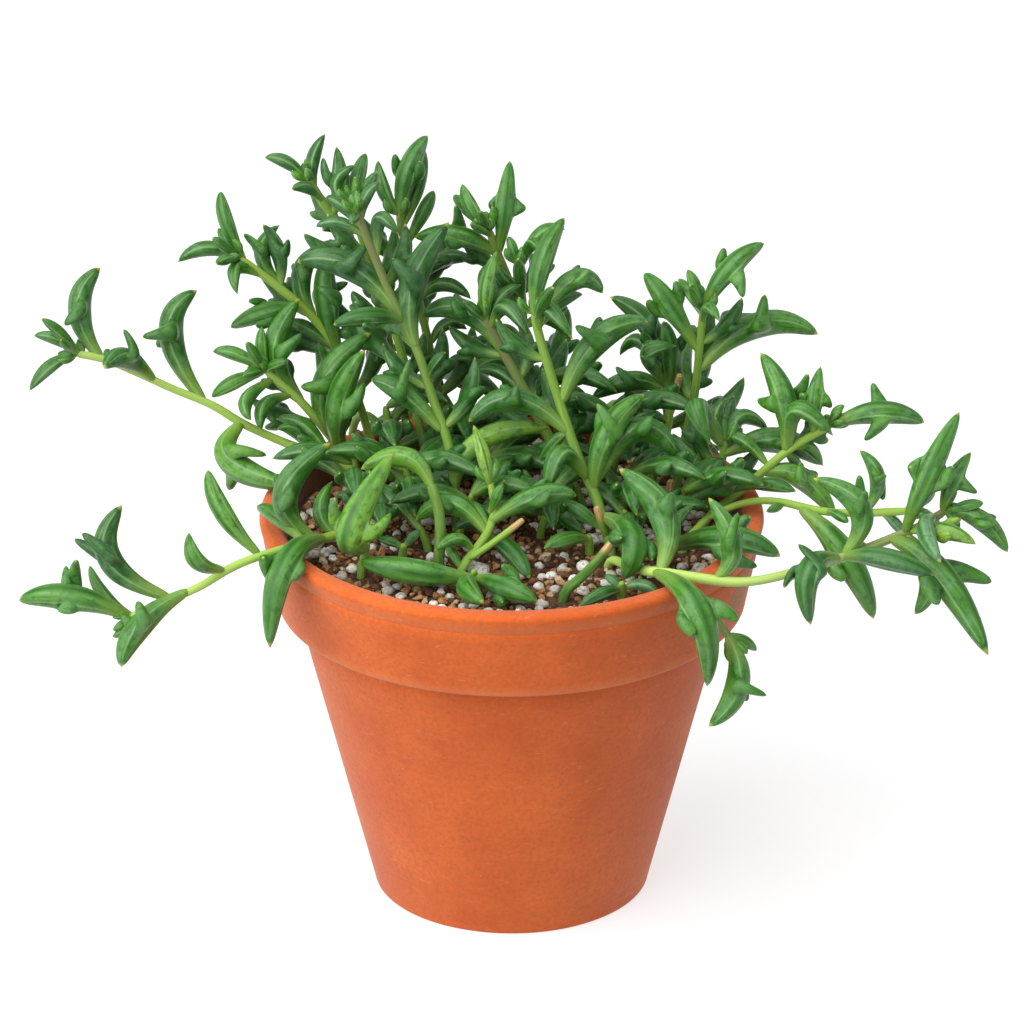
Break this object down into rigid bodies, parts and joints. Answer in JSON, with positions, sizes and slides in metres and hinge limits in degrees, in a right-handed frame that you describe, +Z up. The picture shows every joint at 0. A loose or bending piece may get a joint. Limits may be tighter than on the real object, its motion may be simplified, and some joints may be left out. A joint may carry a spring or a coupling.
{
  "type": "string of dolphins succulent in a clay pot",
  "caption": "Trailing succulent with dolphin-shaped leaves on arching stems, rooted in gritty potting mix in a plain tapered clay pot with a rolled rim.",
  "frame": {"origin": "middle of the pot's base, on the surface that the pot stands on", "axes": "+Z is up, -Y is the front as pictured, +X is to the right seen from the front"},
  "size_m": [0.25, 0.1371, 0.1887],
  "materials": {
    "fired_clay": "matte, unglazed fired clay",
    "potting_mix": "rough, gritty",
    "living_leaf": "waxy, slightly glossy"
  },
  "bodies": {
    "root": {"pot": "fired_clay", "soil": "potting_mix", "cut_stub_front": "living_leaf", "cut_stub_right": "living_leaf", "shoot_back_1": "living_leaf", "shoot_back_2": "living_leaf", "shoot_back_3": "living_leaf", "shoot_back_4": "living_leaf", "shoot_back_centre": "living_leaf", "shoot_back_middle": "living_leaf", "shoot_behind_middle": "living_leaf", "shoot_behind_right_of_middle": "living_leaf", "shoot_centre_right": "living_leaf", "shoot_dark_leaf": "living_leaf", "shoot_front_flat": "living_leaf", "shoot_front_low_right": "living_leaf", "shoot_front_middle": "living_leaf", "shoot_inner_1": "living_leaf", "shoot_inner_2": "living_leaf", "shoot_inner_3": "living_leaf", "shoot_inner_4": "living_leaf", "shoot_inner_5": "living_leaf", "shoot_inner_6": "living_leaf", "shoot_inner_7": "living_leaf", "shoot_inner_8": "living_leaf", "shoot_inner_9": "living_leaf", "shoot_inner_10": "living_leaf", "shoot_inner_11": "living_leaf", "shoot_inner_12": "living_leaf", "shoot_inner_13": "living_leaf", "shoot_inner_14": "living_leaf", "shoot_inner_15": "living_leaf", "shoot_inner_16": "living_leaf", "shoot_inner_left": "living_leaf", "shoot_inside_left": "living_leaf", "shoot_low_left": "living_leaf", "shoot_low_right": "living_leaf", "shoot_lying_leaf": "living_leaf", "shoot_middle": "living_leaf", "shoot_purple_stem": "living_leaf", "shoot_right_inside": "living_leaf", "shoot_right_of_middle": "living_leaf", "shoot_right_rim": "living_leaf", "shoot_thick_arch": "living_leaf", "shoot_top": "living_leaf", "shoot_top_left": "living_leaf", "shoot_top_right": "living_leaf", "shoot_upper_left": "living_leaf", "shoot_upper_right": "living_leaf", "shoot_upright_leaf": "living_leaf"}
  },
  "joints": []
}
